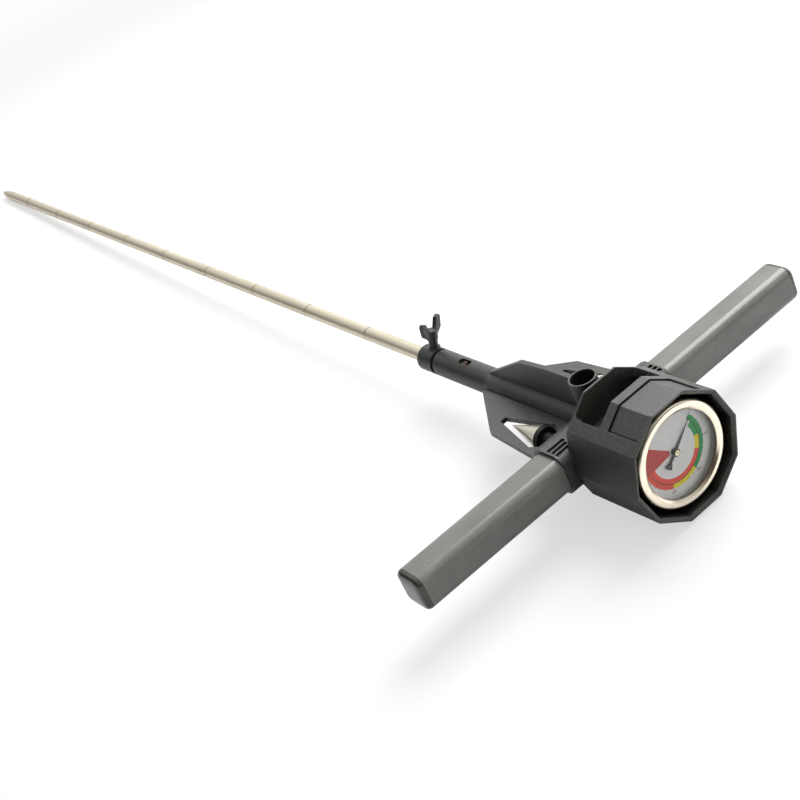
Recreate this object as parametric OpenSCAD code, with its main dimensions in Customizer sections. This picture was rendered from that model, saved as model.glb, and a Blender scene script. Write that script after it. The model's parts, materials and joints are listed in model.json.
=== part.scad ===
// Soil penetrometer: a probe rod pressed into the ground by a T-handle, with a dial gauge on top.
// X runs from the rod's point to the gauge, Y along the handle, Z up. It lies on the cup's bottom facet.

/* [Probe rod] */
// Radius of the probe rod
rod_r = 4.5; // [4:0.1:4.8]
// Handle axis to the end of the rod's point
rod_reach = 916.4; // [800:1:1100]
// Length of the tapered point
point_len = 22; // [16:0.5:30]
// Radius of the point's stud inside the rod
point_stud_r = 2.5; // [2:0.1:3]
// Length of the point's stud
point_stud_len = 9; // [6:0.5:14]
// Handle axis to the first depth mark
mark_first = 233.6; // [220:0.2:300]
// Distance from one depth mark to the next
mark_pitch = 76.2; // [50:0.2:80]
// Largest number of depth marks
mark_count = 9; // [1:1:9]
// Width of a depth mark's groove
mark_w = 1.6; // [0.8:0.1:2.5]
// Depth of a depth mark's groove
mark_depth = 0.3; // [0.1:0.05:0.5]

/* [Plunger] */
// Travel of the plunger under load
press_travel = 2.5; // [1.5:0.1:3]
// Room left between collar and tube at full travel
stop_room = 0.5; // [0.3:0.1:1]
// Length of the clamp collar
collar_len = 13.5; // [12:0.5:18]
// Depth of the rod's socket in the plunger
socket_depth = 36; // [28:1:40]
// Radius of the spigot that carries the piston
piston_spigot_r = 2.6; // [2:0.1:2.8]
// Length of the piston
piston_len = 10; // [8:0.5:12]
// Radius of the seal's groove floor
seal_root_r = 3.7; // [3.4:0.1:4.2]
// Width of the piston seal
seal_w = 2.4; // [1.5:0.1:3]

/* [Wing screw] */
// Lean of the wing screw from straight up, toward the right-hand bar
wing_lean = 15; // [0:1:40]
// Radius of the wing screw's shank
wing_shank_r = 2.4; // [2:0.1:2.6]
// Radius of the wing screw's hub
wing_hub_r = 4; // [3.5:0.1:5]
// Height of the wing screw above the collar
wing_rise = 18.5; // [16:0.5:24]
// Reach of each wing from the screw's axis
wing_span = 10.5; // [8:0.5:12]
// Turn of the wings from the handle's direction
wing_turn = 24; // [0:1:90]
// Thickness of a wing
wing_plate_t = 2.6; // [1.8:0.1:3.5]

/* [Guide tube] */
// Radius of the guide tube, the collar and the body's neck
tube_r = 8.3; // [8:0.1:9]
// Wall of the guide tube
tube_wall = 2.3; // [2:0.1:2.5]
// Handle axis to the open end of the guide tube
tube_reach = 150.5; // [146:0.5:160]
// Radius of the tube's spigot inside the body
spigot_r = 7.2; // [7:0.1:7.5]
// Length of the tube's spigot
spigot_len = 28; // [20:1:30]
// Open end of the guide tube to the middle of the guide slot
slot_back = 26.8; // [24:0.1:28]
// Length of the guide slot
slot_len = 10.4; // [9.5:0.1:13]
// Width of the guide slot
slot_w = 4.7; // [4.2:0.1:5.2]
// Radius of the guide screw's shank
guide_shank_r = 1.3; // [1:0.1:1.6]
// Depth of the guide screw in the plunger
guide_depth = 1.2; // [0.8:0.1:1.3]

/* [Body] */
// Handle axis to the rear end of the body's neck
shell_reach = 98.5; // [92:0.5:110]
// Thickness of the side wings
wing_t = 3; // [2.4:0.2:5]
// Reach of a wing where it leaves the neck
wing_nose_y = 10; // [9.5:0.5:14]
// Handle axis to a wing's outer corner
wing_corner_x = 61.8; // [56:0.2:70]
// Reach of a wing at its outer corner
wing_corner_y = 34.3; // [33:0.1:38]
// Handle axis to the end of a wing's long edge
wing_root_x = 21; // [20:0.5:24]
// Reach of a wing at the end of its long edge
wing_root_y = 37.8; // [36.5:0.1:38]
// Thickness of the upright fins
fin_t = 3; // [2.4:0.2:4]
// Handle axis to the fin's knee
fin_knee_x = 61; // [55:0.5:70]
// Height of the fin at its knee
fin_knee_z = 26.4; // [22:0.2:27]
// Handle axis to the fin's shoulder
fin_shoulder_x = 36; // [30:0.5:44]
// Height of the fin at its shoulder
fin_shoulder_z = 28.6; // [24:0.2:30]
// Handle axis to the foot of the sleeve's ramp
ramp_x = 16.5; // [15.5:0.1:18]
// Number of grip grooves on each end of the sleeve
rib_count = 3; // [1:1:3]
// Distance from one grip groove to the next
rib_pitch = 3.5; // [3.2:0.1:4.2]
// Width of a grip groove
rib_w = 2.5; // [1.5:0.1:2.8]
// Length of the rearmost grip groove
rib_len = 11.5; // [6:0.5:13]
// Handle axis to the middle of the grip grooves
rib_mid = 3.4; // [0:0.1:4]

/* [Cone bay] */
// Handle axis to the narrow end of the cone bay
bay_tip_x = 63.4; // [58:0.2:68]
// Half width of the bay at its narrow end
bay_tip_half = 1.8; // [1:0.1:2.5]
// Handle axis to the widest place of the bay
bay_wide_x = 28.5; // [26:0.5:31]
// Half width of the bay at its widest place
bay_half = 10.2; // [9.5:0.1:10.6]
// Handle axis to the closed end of the bay
bay_end_x = 19.5; // [19:0.1:21]
// Middle of the bay, across from the rod axis
bay_y = 23.2; // [22:0.1:25]
// Radius of a spare cone's base
cone_r = 7.5; // [6:0.1:7.6]
// Length of a spare cone
cone_len = 28; // [22:0.5:28.5]
// Handle axis to a spare cone's base
cone_base_x = 28; // [27.5:0.5:30]
// Radius of a cone post
post_r = 4.3; // [3.5:0.1:5]
// Radius of the post's foot between the shells
post_foot_r = 2.4; // [2:0.1:2.8]
// Thickness of a cone post's flange
post_flange_t = 2.8; // [2:0.1:4]
// Radius of the stud that holds a cone
stud_r = 2.5; // [2:0.1:3]
// Length of that stud
stud_len = 5.5; // [4:0.5:8]

/* [Handle] */
// Width of a handle bar across its flats
handle_w = 21.2; // [18:0.2:22]
// Corner radius of a handle bar
handle_corner = 5.6; // [5:0.2:8.5]
// Handle bar's wall
bar_wall = 2; // [1.5:0.1:3]
// Rod axis to a bar's outer end
handle_reach = 137; // [110:0.5:180]
// Rod axis to a bar's inner end
bar_inner = 13.2; // [12:0.1:16]
// Rod axis to the mouth of the handle sleeve
sleeve_reach = 40.4; // [38:0.1:44]
// Wall of the handle sleeve
sleeve_wall = 1.8; // [1.6:0.1:2.6]
// Height of an end cap's dome
cap_dome = 4; // [3:0.2:8]
// Depth of an end cap's plug in the bar
cap_plug = 10; // [6:0.5:16]

/* [Gauge cup] */
// Radius to the corners of the ten-sided gauge cup
cup_r = 36; // [35:0.5:42]
// Wall of the cup
cup_wall = 2.4; // [2.2:0.1:3.6]
// Handle axis to the cup's rear edge
cup_rear = 8.3; // [7.8:0.1:10]
// Handle axis to the cup's open rim
cup_front = 59.6; // [58:0.2:70]
// Thickness of the cup's back between sleeve and gauge stem
cup_back_t = 2; // [1.5:0.1:3]
// Bevel inside the rim
rim_bevel = 1.5; // [0.5:0.1:2]
// Lip of the cup's back behind the spanner window
window_lip = 1.4; // [1:0.1:2]
// Length of the spanner window on top of the cup
window_len = 19.8; // [16:0.2:20.4]
// Depth of that window below the top facet
window_drop = 8.6; // [6:0.2:10.6]
// Corner radius of that window
window_corner = 2.5; // [1:0.1:4]
// Thickness of the badge plate
badge_t = 0.6; // [0.5:0.1:0.8]
// Depth of the badge plate's face below the cup's skin
badge_sink = 0.9; // [0.2:0.1:1]
// Length of the badge plate
badge_len = 20.5; // [12:0.5:21]
// Depth of the badge plate's sides below the top facet
badge_drop = 8; // [5:0.2:10]
// Width of the seam round the badge plate
badge_seam = 0.7; // [0.3:0.1:0.8]

/* [Gauge] */
// Outer radius of the gauge bezel
bezel_r = 29.2; // [28:0.1:30]
// Face width of the bezel ring
bezel_face = 5.3; // [4:0.1:6]
// Rim of the cup to the front of the bezel
rim_inset = 3.1; // [2:0.1:5]
// Depth of the gauge from bezel to case back
gauge_depth = 26; // [25.5:0.1:27]
// Gauge case wall
case_wall = 1.2; // [0.8:0.1:1.6]
// Thickness of the gauge lens
lens_t = 2; // [1.2:0.1:2.2]
// Bezel front to dial face
dial_depth = 7; // [6.8:0.1:8]
// Thickness of the dial plate
dial_t = 0.8; // [0.5:0.1:1.2]
// Radius of the stem's threaded shank
stem_r = 4.8; // [4.2:0.1:5.2]
// Width across the flats of the stem's hexagon
stem_flats = 14; // [12:0.5:18]
// Length of that hexagon
stem_hex_len = 8; // [6:0.5:9]

/* [Gauge movement] */
// Turn of the pointer over the full travel
needle_sweep = 250; // [180:5:270]
// Rest direction of the pointer, clockwise from straight up
needle_rest = 52; // [0:1:90]
// Length of the pointer
needle_len = 18.7; // [14:0.1:20]
// Length of the pointer's tail
needle_tail = 9.5; // [7:0.5:12]
// Radius of the pointer shaft
shaft_r = 0.8; // [0.6:0.05:1]
// Module of the movement's gear teeth
tooth_module = 0.4; // [0.3:0.02:0.42]
// Teeth on the pinion
pinion_teeth = 8; // [8:1:10]
// Pinion turns for one turn of the sector
gear_ratio = 8; // [7:1:8]
// Radius of the bent pressure tube's middle line
bourdon_r = 20; // [19.5:0.1:21]
// Radius of the pressure tube
bourdon_tube_r = 2.2; // [1.5:0.1:2.4]

/* [Pressure cell] */
// Radius of the pressure cell block
cell_r = 7; // [6.8:0.05:7.1]
// Radius of the cylinder bore
cylinder_r = 5; // [4.6:0.05:5.3]
// Handle axis to the rear of the cell block
cell_reach = 36; // [34:0.5:40]
// Thickness of the gland nut behind the cell
gland_t = 4; // [3:0.5:6]
// Handle axis to the fill port's axis
port_x = 6; // [5:0.2:7]
// Outer radius of the fill port
port_r = 8; // [7:0.1:8.2]
// Wall of the fill port
port_wall = 1.2; // [1:0.1:1.6]
// Height of the fill port above the rod axis
port_top = 31.3; // [29:0.1:33]
// Radius of the fill plug's thread
plug_r = 2.4; // [2:0.1:2.6]
// Height of the fill plug's head
plug_head_h = 3; // [2:0.2:4]

/* [Hidden] */
$fn = 64;

// Fits: pieces that slide or turn, pieces that are pushed together, and flat faces that stay apart
run_fit = 0.1;
seat_fit = 0.1;
pin_fit = 0.05;
face_gap = 0.1;
// How far a cut reaches past the face that it opens
overrun = 1;

// Colours of the finishes
black_plastic = "#343432";
dark_plastic = "#3a3b37";
grey_paint = "#80817d";
steel = "#cfc8b4";
bright_steel = "#d8d5cc";
brass = "#c9ab6a";
gold_steel = "#e8dcc4";
rubber = "#202020";

// Handle sleeve, measured from the crossing of the rod and handle axes
bore_half = handle_w / 2 + seat_fit;
sleeve_half = bore_half + sleeve_wall;
sleeve_corner = handle_corner + sleeve_wall;
split_z = wing_t / 2;

// Gauge cup
cup_sides = 10;
cup_flat = cup_r * cos(180 / cup_sides);
cup_mid = (cup_front + cup_rear) / 2;
cup_back = sleeve_half + cup_back_t;
cup_bore_r = cup_r - cup_wall / cos(180 / cup_sides);
stem_hole_r = stem_r + 2 * run_fit;
badge_rear = cup_front - 2 * rim_bevel - badge_len;
badge_face_r = cup_r - badge_sink / cos(180 / cup_sides);
badge_bed_r = badge_face_r - badge_t / cos(180 / cup_sides);

// Nose of the rod's point: shares of the rod's radius and of the point's length
point_shares = [[0.26, 0], [0.42, 0.03], [0.56, 0.12], [0.76, 0.4], [0.92, 0.72]];

// Plunger and guide tube
tube_bore_r = tube_r - tube_wall;
plunger_r = tube_bore_r - run_fit;
slot_mid = tube_reach - slot_back;
collar_front = -tube_reach - press_travel - stop_room;
collar_rear = collar_front - collar_len;
socket_r = rod_r + pin_fit;
socket_end = collar_rear + socket_depth;
rod_rear = socket_end - face_gap;
wing_seat_z = tube_r + wing_plate_t * 0.25;
guide_x = -slot_mid - press_travel / 2;
guide_head_r = slot_w / 2 - run_fit;
guide_head_h = tube_wall * 0.45;

// Pressure cell, from the rear to the front
cell_cavity_r = cell_r + seat_fit;
plunger_front = -cell_reach - gland_t - press_travel - stop_room;
cylinder_end = -port_x - plug_r - overrun;
thread_end = plug_r - port_x + overrun;
passage_r = plug_r * 0.8;
piston_r = cylinder_r - pin_fit;
piston_front = cylinder_end - press_travel - stop_room;
piston_rear = piston_front - piston_len;
plug_seat_z = cell_r * 0.92;
port_bore_r = port_r - port_wall;
port_foot_z = 1.2 * cell_r;
plug_head_r = port_bore_r - 4 * run_fit;

// Gauge, from the front to the rear
bezel_front = cup_front - rim_inset;
bezel_lip = bezel_face * 0.24;
bezel_in = bezel_r - bezel_face;
case_r = bezel_r - bezel_face * 0.3;
case_in = case_r - case_wall;
lens_front = bezel_front - bezel_lip;
lens_rear = lens_front - lens_t;
gasket_t = case_wall;
case_front = lens_rear - gasket_t;
gauge_back = bezel_front - gauge_depth;
dial_face = bezel_front - dial_depth;
dial_rear = dial_face - dial_t;
case_back_t = 1.25 * case_wall;
lens_r = case_r - case_wall * 0.8;
stem_neck_r = stem_r * 0.85;
block_front = gauge_back + 3 * case_back_t + 2 * bourdon_tube_r;
block_half = bourdon_tube_r * 1.3;
bourdon_x = block_front - block_half;
frame_t = case_wall;
frame_front = block_front + frame_t;

// Gear train of the movement
pinion_pitch_r = tooth_module * pinion_teeth / 2;
sector_pitch_r = pinion_pitch_r * gear_ratio;
sector_teeth = pinion_teeth * gear_ratio;
gear_slack = tooth_module * 0.16;
pivot_drop = pinion_pitch_r + sector_pitch_r + gear_slack;
gear_rear = frame_front + 2 * run_fit;
gear_t = 2 * frame_t;
sector_sweep = needle_sweep / gear_ratio;
tooth_out_share = 0.8;
tooth_in_share = 1.15;
tooth_root_share = 1.5;
tooth_tip_share = 0.62;
pivot_hub_r = 2.5 * shaft_r;

// Pointer, in front of the dial
needle_t = dial_t * 0.6;
needle_rear = dial_face + 2 * needle_t;
needle_hub_r = needle_len * 0.12;
hub_front = needle_rear + 3 * needle_t;
hub_screw_r = needle_hub_r * 0.62;

// Small screws of the body
screw_r = 1.2;
screw_head_r = 2.2;
screw_head_h = 1.6;
screw_x = bore_half + 1.3 * screw_head_r;
screw_seat_z = -split_z - screw_head_h;
screw_top_z = split_z + 1.7 * screw_r;
grip_screw_y = (sleeve_reach + bar_inner) / 2;

// Housing of a cone post's foot
post_house_r = 1.6 * post_foot_r;
post_foot_end = bore_half + sleeve_wall / 2;
screw_aside = post_house_r + 1.2 * screw_head_r;

// The rest frame has its origin in the middle of the facet that the cup lies on
module placed() {
    translate([-cup_mid, 0, cup_flat]) children();
}

// A drawing plane square to X at the given place: its x points down and its y along the handle
module on_x(x) {
    translate([x, 0, 0]) rotate([0, 90, 0]) children();
}

// Round bar along X
module rod_x(r, from, to) {
    on_x(from) cylinder(r = r, h = to - from);
}

// Flat outline square to X, as thick as the stretch from one place to another
module slab_x(from, to) {
    on_x(from) linear_extrude(to - from) children();
}

// Turned piece round X, from points that give radius and place
module turned(points) {
    rotate([0, 90, 0]) rotate_extrude() polygon(points);
}

// Ten-sided prism along X with corners on the handle's level and flats above and below
module ten_sided(r, from, to) {
    on_x(from) rotate(90) cylinder(r = r, h = to - from, $fn = cup_sides);
}

// Square with round corners
module rounded_square(half, corner) {
    straight = half - corner;
    square([2 * half, 2 * straight], center = true);
    square([2 * straight, 2 * half], center = true);
    for (sx = [-1, 1], sy = [-1, 1]) translate([sx * straight, sy * straight]) circle(corner);
}

// Bar of that section along Y
module bar_y(half, corner, from, to) {
    translate([0, to, 0]) rotate([90, 0, 0]) linear_extrude(to - from) rounded_square(half, corner);
}

// Plate in the upright plane of the rod
module upright_plate(t, points) {
    rotate([90, 0, 0]) linear_extrude(t, center = true) polygon(points);
}

// Both sides of the body, mirrored across the rod
module both_sides() {
    children();
    mirror([0, 1, 0]) children();
}

// Half space above or below the parting plane, as a block round the body
module half_space(side) {
    reach = 2 * shell_reach;
    translate([-reach / 2, 0, split_z + side * reach / 2]) cube([2 * reach, reach, reach], center = true);
}

// Upright fin of the body: nose on the neck, knee, shoulder, then level to the cup
module fin() {
    upright_plate(fin_t, [
        [-shell_reach, 0],
        [-shell_reach, tube_r],
        [-fin_knee_x, fin_knee_z],
        [-fin_shoulder_x, fin_shoulder_z],
        [cup_rear - face_gap, fin_shoulder_z],
        [cup_rear - face_gap, 0]
    ]);
}

// Handle sleeve with the ramp that runs down to the wings
module sleeve_block() {
    bar_y(sleeve_half, sleeve_corner, -sleeve_reach, sleeve_reach);
    upright_plate(2 * sleeve_reach, [
        [-ramp_x, 0],
        [-ramp_x, split_z],
        [-sleeve_half + sleeve_wall, sleeve_half - sleeve_wall],
        [-sleeve_half + sleeve_corner, sleeve_half],
        [0, sleeve_half],
        [0, 0]
    ]);
}

// Flat side wing between neck and sleeve
module wing() {
    translate([0, 0, -split_z]) linear_extrude(wing_t) polygon([
        [-shell_reach, 0],
        [-shell_reach, wing_nose_y],
        [-wing_corner_x, wing_corner_y],
        [-wing_root_x, wing_root_y],
        [-sleeve_half, sleeve_reach],
        [0, sleeve_reach],
        [0, 0]
    ]);
}

// Bay cut through a wing for a spare cone, narrow at both ends
module cone_bay() {
    translate([0, bay_y, -wing_t]) linear_extrude(2 * wing_t) polygon([
        [-bay_tip_x, -bay_tip_half],
        [-bay_wide_x, -bay_half],
        [-bay_end_x, -bay_half * 0.55],
        [-bay_end_x, bay_half * 0.55],
        [-bay_wide_x, bay_half],
        [-bay_tip_x, bay_tip_half]
    ]);
}

// Round housing between bay and sleeve for the foot of a cone post
module post_house() {
    translate([0, bay_y, 0]) rod_x(post_house_r, -bay_end_x, -bore_half);
}

// Seats for the cell, the tube, the plunger, the handle bars and the cone posts
module body_cavities() {
    rod_x(cell_cavity_r, -cell_reach - gland_t - face_gap, bore_half);
    rod_x(stem_hole_r, bore_half - overrun, sleeve_half + overrun);
    rod_x(spigot_r + pin_fit, -shell_reach - overrun, spigot_len - shell_reach + face_gap);
    rod_x(tube_bore_r, -shell_reach, -cell_reach);
    both_sides() {
        bar_y(bore_half, handle_corner + seat_fit, bar_inner - seat_fit, sleeve_reach + overrun);
        translate([0, bay_y, 0]) rod_x(post_foot_r + pin_fit, -bay_end_x - overrun, -post_foot_end);
        cone_bay();
    }
}

// Screws that draw the two shells together, each with its head in the lower ramp
module body_screw_places() {
    both_sides() for (s = [-1, 1]) translate([-screw_x, bay_y + s * screw_aside, 0]) children();
}

module body_upper_shell() {
    placed() color(black_plastic) difference() {
        intersection() {
            union() {
                rod_x(tube_r, -shell_reach, 0);
                fin();
                sleeve_block();
                both_sides() post_house();
                translate([-port_x, 0, 0]) cylinder(r = port_r, h = port_foot_z);
            }
            half_space(1);
        }
        body_cavities();
        translate([-port_x, 0, 0]) cylinder(r = port_bore_r, h = 2 * port_top);
        translate([-port_x, 0, port_foot_z]) cylinder(r = port_r + pin_fit, h = 2 * port_top);
        both_sides() for (k = [0 : rib_count - 1]) grip_groove(k);
        body_screw_places() cylinder(r = screw_r + pin_fit, h = screw_top_z + face_gap);
    }
}

// One grip groove along the handle, in the top of the sleeve near its mouth
module grip_groove(k) {
    first = rib_mid - rib_w / 2 - (rib_count - 1) / 2 * rib_pitch;
    length = rib_len * (1 - 0.1 * k);
    inner = sleeve_reach - rib_w / 2 - length;
    translate([first + k * rib_pitch, inner, sleeve_half - sleeve_wall * 0.7])
        cube([rib_w, length, sleeve_wall]);
}

module body_lower_shell() {
    placed() color(black_plastic) difference() {
        intersection() {
            union() {
                rod_x(tube_r, -shell_reach, 0);
                mirror([0, 0, 1]) fin();
                mirror([0, 0, 1]) sleeve_block();
                both_sides() wing();
                both_sides() post_house();
            }
            half_space(-1);
        }
        body_cavities();
        body_screw_places() {
            translate([0, 0, screw_seat_z - sleeve_half])
                cylinder(r = screw_head_r + seat_fit, h = sleeve_half);
            translate([0, 0, screw_seat_z - overrun]) cylinder(r = screw_r + pin_fit, h = sleeve_half);
        }
        both_sides() translate([0, grip_screw_y, -sleeve_half - overrun])
            cylinder(r = screw_r + pin_fit, h = sleeve_half);
    }
}

module body_screws() {
    placed() color(steel) body_screw_places() {
        translate([0, 0, screw_seat_z - screw_head_h]) cylinder(r = screw_head_r, h = screw_head_h);
        translate([0, 0, screw_seat_z - screw_head_h / 2])
            cylinder(r = screw_r, h = screw_top_z - screw_seat_z + screw_head_h / 2);
    }
}

module fill_port() {
    placed() color(black_plastic) translate([-port_x, 0, port_foot_z]) difference() {
        cylinder(r = port_r, h = port_top - port_foot_z);
        translate([0, 0, -overrun]) cylinder(r = port_bore_r, h = port_top);
    }
}

module fill_plug() {
    placed() color(steel) translate([-port_x, 0, plug_seat_z]) difference() {
        union() {
            cylinder(r = plug_head_r, h = plug_head_h);
            translate([0, 0, -plug_seat_z / 2]) cylinder(r = plug_r, h = plug_seat_z);
        }
        translate([0, 0, plug_head_h / 3]) cylinder(r = plug_head_r / 2, h = plug_head_h, $fn = 6);
    }
}

// One bar of the handle, a tube that stands in the sleeve
module handle_bar() {
    half = handle_w / 2;
    difference() {
        bar_y(half, handle_corner, bar_inner, handle_reach);
        bar_y(half - bar_wall, handle_corner - bar_wall, bar_inner - overrun, handle_reach + overrun);
        translate([0, grip_screw_y, -handle_w]) cylinder(r = screw_r + pin_fit, h = handle_w);
    }
}

module handle_bar_left() {
    placed() color(grey_paint) mirror([0, 1, 0]) handle_bar();
}

module handle_bar_right() {
    placed() color(grey_paint) handle_bar();
}

// Domed plug for the open end of a bar
module end_cap() {
    plug_half = handle_w / 2 - bar_wall - seat_fit;
    plug_corner = handle_corner - bar_wall;
    rim = cap_dome * 0.15;
    edge_r = min(cap_dome * 0.7, handle_corner * 0.9);
    bar_y(plug_half, plug_corner, handle_reach - cap_plug, handle_reach);
    bar_y(handle_w / 2, handle_corner, handle_reach, handle_reach + rim);
    hull() {
        for (step = [0, 30, 60, 80]) {
            inset = edge_r * (1 - cos(step));
            top = handle_reach + rim + edge_r * sin(step);
            bar_y(handle_w / 2 - inset, handle_corner - inset, handle_reach + rim / 2, top, $fn = 32);
        }
        bar_y(handle_w / 4, handle_corner / 2, handle_reach + rim, handle_reach + cap_dome, $fn = 32);
    }
}

module end_cap_left() {
    placed() color(dark_plastic) mirror([0, 1, 0]) end_cap();
}

module end_cap_right() {
    placed() color(dark_plastic) end_cap();
}

module handle_screws() {
    placed() color(steel) both_sides() translate([0, grip_screw_y, -sleeve_half]) {
        translate([0, 0, -screw_head_h]) cylinder(r = screw_head_r, h = screw_head_h);
        translate([0, 0, -screw_head_h / 2]) cylinder(r = screw_r, h = sleeve_wall + 2 * bar_wall);
    }
}

// Band of the cup's skin that the badge covers: top facet and part of its neighbours, ends square to the skin
module badge_band(from, to, drop, skin_r, bed_r) {
    turn = 360 / cup_sides;
    edge_z = cup_flat - drop;
    edge_y = (cup_flat - edge_z * cos(turn)) / sin(turn);
    reach_z = 2 * cup_wall * cos(turn);
    reach_y = 2 * cup_wall * sin(turn);
    intersection() {
        difference() {
            ten_sided(skin_r, from, to);
            ten_sided(bed_r, from - overrun, to + overrun);
        }
        slab_x(from - overrun, to + overrun) polygon([
            [reach_z - edge_z, reach_y - edge_y],
            [-reach_z - edge_z, -reach_y - edge_y],
            [-2 * cup_r, -reach_y - edge_y],
            [-2 * cup_r, reach_y + edge_y],
            [-reach_z - edge_z, reach_y + edge_y],
            [reach_z - edge_z, edge_y - reach_y]
        ]);
    }
}

// Cut for the spanner window: its sides are square to the facets beside the top one
module spanner_window() {
    turn = 360 / cup_sides;
    from = cup_rear + window_lip;
    edge_z = cup_flat - window_drop;
    edge_y = (cup_flat - edge_z * cos(turn)) / sin(turn);
    floor_z = cup_back;
    floor_y = edge_y - (edge_z - floor_z) * tan(turn);
    outer_y = edge_y + window_drop * tan(turn);
    difference() {
        slab_x(from, from + window_len) polygon([
            [-floor_z, -floor_y],
            [-cup_flat, -outer_y],
            [-2 * cup_r, -outer_y],
            [-2 * cup_r, outer_y],
            [-cup_flat, outer_y],
            [-floor_z, floor_y]
        ]);
        both_sides() translate([from, edge_y, edge_z]) rotate([-turn, 0, 0]) {
            window_fillet();
            translate([window_len, 0, 0]) mirror([1, 0, 0]) window_fillet();
        }
    }
}

// Stock left in one lower corner of the window, on a facet whose normal is the drawing's z
module window_fillet() {
    depth = 2 * cup_wall;
    skirt = window_corner * 0.1;
    reach = window_corner + skirt;
    arc = [for (a = [120, 150]) window_corner * [1 + cos(a), sin(a) - 1]];
    outline = concat([[-skirt, skirt], [reach, skirt]], arc, [[-skirt, -reach]]);
    translate([0, 0, -depth]) linear_extrude(2 * depth) polygon(outline);
}

module gauge_cup() {
    placed() color(black_plastic) difference() {
        ten_sided(cup_r, cup_rear, cup_front);
        ten_sided(cup_bore_r, cup_back, cup_front + overrun);
        on_x(cup_front - rim_bevel) rotate(90)
            cylinder(r1 = cup_bore_r, r2 = cup_bore_r + 2 * rim_bevel, h = 2 * rim_bevel, $fn = cup_sides);
        bar_y(sleeve_half + face_gap, sleeve_corner + face_gap, -2 * cup_r, 2 * cup_r);
        rod_x(stem_hole_r, 0, cup_back + overrun);
        spanner_window();
        badge_band(badge_rear - badge_seam, badge_rear + badge_len + badge_seam,
            badge_drop + badge_seam * sin(360 / cup_sides), 2 * cup_r, badge_bed_r - face_gap);
    }
}

module badge_plate() {
    placed() color(dark_plastic)
        badge_band(badge_rear, badge_rear + badge_len, badge_drop, badge_face_r, badge_bed_r);
}

module gauge_case() {
    ledge_r = case_in - bezel_face * 0.3;
    placed() color(steel) turned([
        [stem_neck_r + pin_fit, gauge_back],
        [case_r, gauge_back],
        [case_r, case_front],
        [case_in, case_front],
        [case_in, dial_rear],
        [ledge_r, dial_rear],
        [ledge_r, dial_rear - case_wall],
        [case_in, dial_rear - 3 * case_wall],
        [case_in, gauge_back + case_back_t],
        [stem_neck_r + pin_fit, gauge_back + case_back_t]
    ]);
}

module gauge_bezel() {
    skirt_rear = case_front - bezel_face;
    crown = bezel_face * 0.45;
    placed() color(gold_steel) turned(concat(
        [[case_r + pin_fit, skirt_rear], [bezel_r, skirt_rear]],
        [for (a = [0 : 15 : 90]) [bezel_r - crown * (1 - cos(a)), bezel_front - crown * (1 - sin(a))]],
        [
            [bezel_in + bezel_lip, bezel_front],
            [bezel_in, lens_front + bezel_lip / 3],
            [bezel_in, lens_front],
            [lens_r + pin_fit, lens_front],
            [lens_r + pin_fit, case_front],
            [case_r + pin_fit, case_front]
        ]
    ));
}

module lens_gasket() {
    placed() color(rubber) difference() {
        rod_x(lens_r, case_front, lens_rear);
        rod_x(case_in - case_wall, case_front - overrun, lens_rear + overrun);
    }
}

module gauge_lens() {
    placed() color("#dfe8ea", 0.35) rod_x(lens_r, lens_rear, lens_front);
}

module dial_plate() {
    placed() color("#c6c6c8") difference() {
        rod_x(case_in - pin_fit, dial_rear, dial_face);
        rod_x(2 * shaft_r, dial_rear - overrun, dial_face + overrun);
    }
}

module gauge_stem() {
    placed() color(brass) difference() {
        union() {
            rod_x(stem_r, thread_end + face_gap, cup_back);
            slab_x(cup_back, cup_back + stem_hex_len) circle(d = stem_flats / cos(30), $fn = 6);
            rod_x(stem_neck_r, cup_back, block_front);
            translate([block_front - 2 * block_half, -bourdon_r, -block_half])
                cube([2 * block_half, bourdon_r, 2 * block_half]);
        }
        rod_x(passage_r, thread_end, block_front - block_half);
    }
}

// Bent pressure tube: it leaves the stem's block and ends short of a full turn
module bourdon_tube() {
    open_turn = 60;
    start = 2 * asin(block_half / bourdon_r / 2) * 1.1;
    placed() color(brass) on_x(bourdon_x) rotate(start - 90)
        rotate_extrude(angle = 360 - open_turn) translate([bourdon_r, 0]) circle(bourdon_tube_r);
}

// Plate on the stem's block, with the bearing of the pointer shaft and the pin of the sector
module movement_frame() {
    placed() color(brass) {
        difference() {
            slab_x(block_front, frame_front) {
                circle(stem_neck_r);
                translate([0, -pivot_hub_r]) square([pivot_drop, 2 * pivot_hub_r]);
                translate([pivot_drop, 0]) circle(pivot_hub_r);
            }
            rod_x(shaft_r + pin_fit, block_front - overrun, frame_front + overrun);
        }
        translate([0, 0, -pivot_drop]) rod_x(shaft_r, block_front, gear_rear + gear_t + frame_t);
    }
}

// One gear tooth whose middle line points along the drawing's x
module gear_tooth(pitch_r) {
    root = pitch_r - 1.4 * tooth_in_share * tooth_module;
    tip = pitch_r + tooth_out_share * tooth_module;
    polygon([
        [root, -tooth_root_share * tooth_module / 2],
        [tip, -tooth_tip_share * tooth_module / 2],
        [tip, tooth_tip_share * tooth_module / 2],
        [root, tooth_root_share * tooth_module / 2]
    ]);
}

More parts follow.
